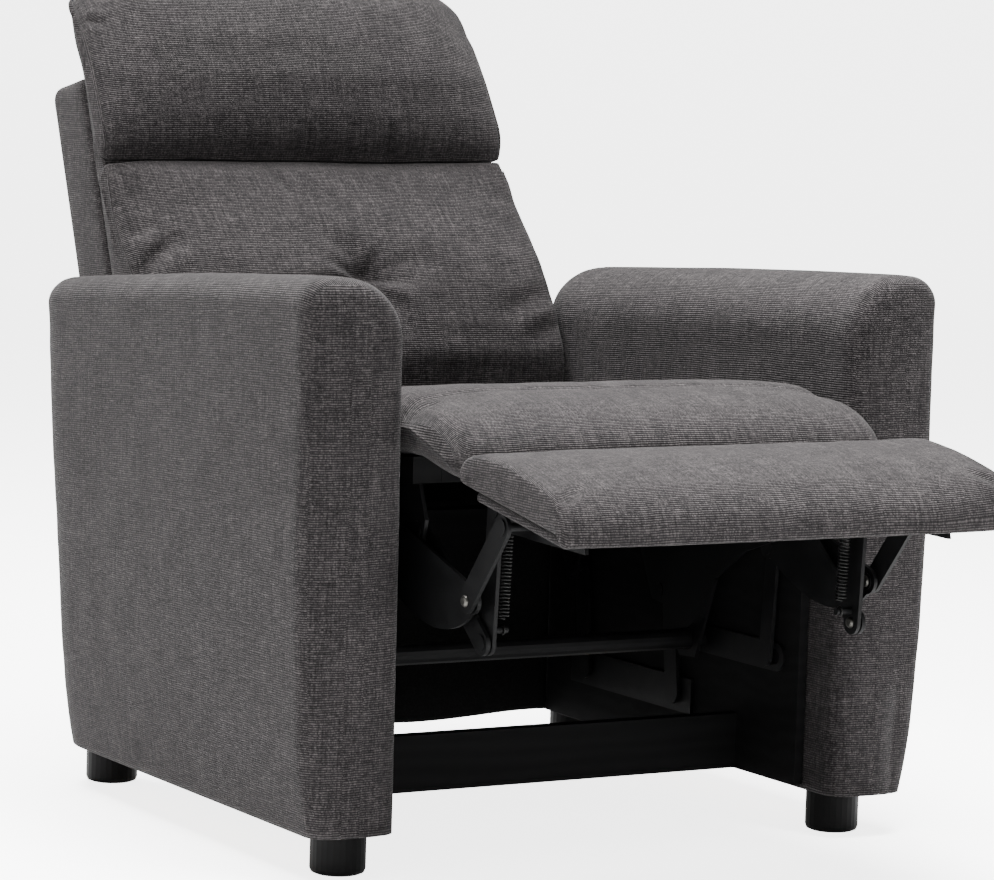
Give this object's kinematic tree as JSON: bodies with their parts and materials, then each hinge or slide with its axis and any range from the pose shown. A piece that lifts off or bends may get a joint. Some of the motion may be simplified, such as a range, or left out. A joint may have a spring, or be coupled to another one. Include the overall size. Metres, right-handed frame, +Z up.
{
  "type": "recliner armchair",
  "caption": "Recliner armchair shown with the footrest out and the back reclined; padded arms, seat, chaise flap and footrest on a linked steel mechanism.",
  "frame": {"origin": "on the floor, in the middle of the chair's bounding box with the footrest out", "axes": "+X to the chair's left as somebody sitting in it faces -Y, +Y to the back, -Y the way the sitter faces, +Z up"},
  "size_m": [0.737, 1.1364, 0.8769],
  "materials": {
    "grey_fabric": "woven, fine horizontal ribs",
    "black_cloth": "thin non-woven dust cloth",
    "black_board": "painted board",
    "bare_wood": "sawn softwood",
    "black_steel": "satin black paint on pressed steel",
    "zinc": "zinc plated",
    "black_plastic": "satin moulded plastic"
  },
  "bodies": {
    "base": {"left_arm_cover": "grey_fabric", "right_arm_cover": "grey_fabric", "left_arm_frame": "bare_wood", "right_arm_frame": "bare_wood", "left_side_board": "black_board", "right_side_board": "black_board", "left_base_rail": "black_steel", "right_base_rail": "black_steel", "front_rail": "black_board", "rear_rail": "black_board", "rear_dust_cover": "black_cloth", "front_left_leg": "black_plastic", "front_right_leg": "black_plastic", "rear_left_leg": "black_plastic", "rear_right_leg": "black_plastic"},
    "front_carriers": {"left_front_carrier": "black_steel", "right_front_carrier": "black_steel"},
    "rear_carriers": {"left_rear_carrier": "black_steel", "right_rear_carrier": "black_steel"},
    "seat": {"left_seat_rail": "black_board", "right_seat_rail": "black_board", "left_side_plate": "black_steel", "right_side_plate": "black_steel", "left_back_bolt": "zinc", "right_back_bolt": "zinc", "front_seat_rail": "black_board", "rear_seat_rail": "black_board", "seat_spring_panel": "black_steel", "seat_cushion": "grey_fabric"},
    "chaise": {"chaise_pad": "grey_fabric"},
    "footrest": {"footrest_board": "grey_fabric", "footrest_pad": "grey_fabric", "left_footrest_bracket": "black_steel", "right_footrest_bracket": "black_steel"},
    "lower_links": {"left_lower_link": "black_steel", "right_lower_link": "black_steel"},
    "upright_links": {"left_upright_link": "black_steel", "right_upright_link": "black_steel", "left_spring": "black_steel", "right_spring": "black_steel"},
    "bellcranks": {"left_bellcrank": "black_steel", "right_bellcrank": "black_steel"},
    "diagonal_links": {"left_diagonal_link": "black_steel", "right_diagonal_link": "black_steel"},
    "push_rods": {"left_push_rod": "black_steel", "right_push_rod": "black_steel"},
    "drive": {"drive_tube": "black_steel", "left_drive_crank": "black_steel", "right_drive_crank": "black_steel"},
    "back": {"back_shell": "grey_fabric", "back_frame": "bare_wood", "lumbar_cushion": "grey_fabric", "head_cushion": "grey_fabric", "back_skirt": "black_cloth", "left_back_bracket": "black_steel", "right_back_bracket": "black_steel"}
  },
  "joints": [
    {"name": "front_carrier_swing", "type": "hinge", "parent": "base", "child": "front_carriers", "pos_m": [0, 0, 0.112], "axis": [1, 0, 0], "range_deg": [-13.4, 22.4]},
    {"name": "rear_carrier_swing", "type": "hinge", "parent": "base", "child": "rear_carriers", "pos_m": [0, 0.18, 0.112], "axis": [1, 0, 0], "range_deg": [-13.4, 22.4]},
    {"name": "seat_travel", "type": "hinge", "parent": "front_carriers", "child": "seat", "pos_m": [0, 0.012, 0.223], "axis": [1, 0, 0], "range_deg": [-22.4, 13.4]},
    {"name": "back_recline", "type": "hinge", "parent": "seat", "child": "back", "pos_m": [0, 0.33, 0.33], "axis": [1, 0, 0], "range_deg": [-22, 13]},
    {"name": "footrest_swing", "type": "hinge", "parent": "seat", "child": "chaise", "pos_m": [0, -0.268, 0.408], "axis": [1, 0, 0], "range_deg": [0, 72]},
    {"name": "footrest_tilt", "type": "hinge", "parent": "chaise", "child": "footrest", "pos_m": [0, -0.364, 0.389], "axis": [1, 0, 0], "range_deg": [-0.4, 8.72]},
    {"name": "lower_link_swing", "type": "hinge", "parent": "seat", "child": "lower_links", "pos_m": [0, -0.2406, 0.3346], "axis": [1, 0, 0], "range_deg": [-0.4, 60.78]},
    {"name": "upright_link_swing", "type": "hinge", "parent": "lower_links", "child": "upright_links", "pos_m": [0, -0.358, 0.24], "axis": [1, 0, 0], "range_deg": [-43.74, 0.4], "deforming": ["left_spring", "right_spring"]},
    {"name": "bellcrank_swing", "type": "hinge", "parent": "seat", "child": "bellcranks", "pos_m": [0, -0.2156, 0.3234], "axis": [1, 0, 0], "range_deg": [-0.4, 81.59]},
    {"name": "diagonal_link_swing", "type": "hinge", "parent": "bellcranks", "child": "diagonal_links", "pos_m": [0, -0.358, 0.281], "axis": [1, 0, 0], "range_deg": [-80.8, 0.4]},
    {"name": "push_rod_swing", "type": "hinge", "parent": "bellcranks", "child": "push_rods", "pos_m": [0, -0.1816, 0.2939], "axis": [1, 0, 0], "range_deg": [-80.23, 0.4]},
    {"name": "drive_tube_turn", "type": "hinge", "parent": "seat", "child": "drive", "pos_m": [0, -0.046, 0.178], "axis": [1, 0, 0], "range_deg": [-26.35, 0.4]}
  ],
  "couplings": [
    {"joint": "front_carrier_swing", "follows": "back_recline", "ratio": -1},
    {"joint": "rear_carrier_swing", "follows": "back_recline", "ratio": -1},
    {"joint": "seat_travel", "follows": "back_recline", "ratio": 1},
    {"joint": "footrest_tilt", "follows": "footrest_swing", "ratio": 0.1155},
    {"joint": "lower_link_swing", "follows": "footrest_swing", "ratio": 0.8386},
    {"joint": "upright_link_swing", "follows": "footrest_swing", "ratio": -0.602},
    {"joint": "bellcrank_swing", "follows": "footrest_swing", "ratio": 1.1276},
    {"joint": "diagonal_link_swing", "follows": "footrest_swing", "ratio": -1.1167},
    {"joint": "push_rod_swing", "follows": "footrest_swing", "ratio": -1.1088},
    {"joint": "drive_tube_turn", "follows": "footrest_swing", "ratio": -0.3604}
  ]
}
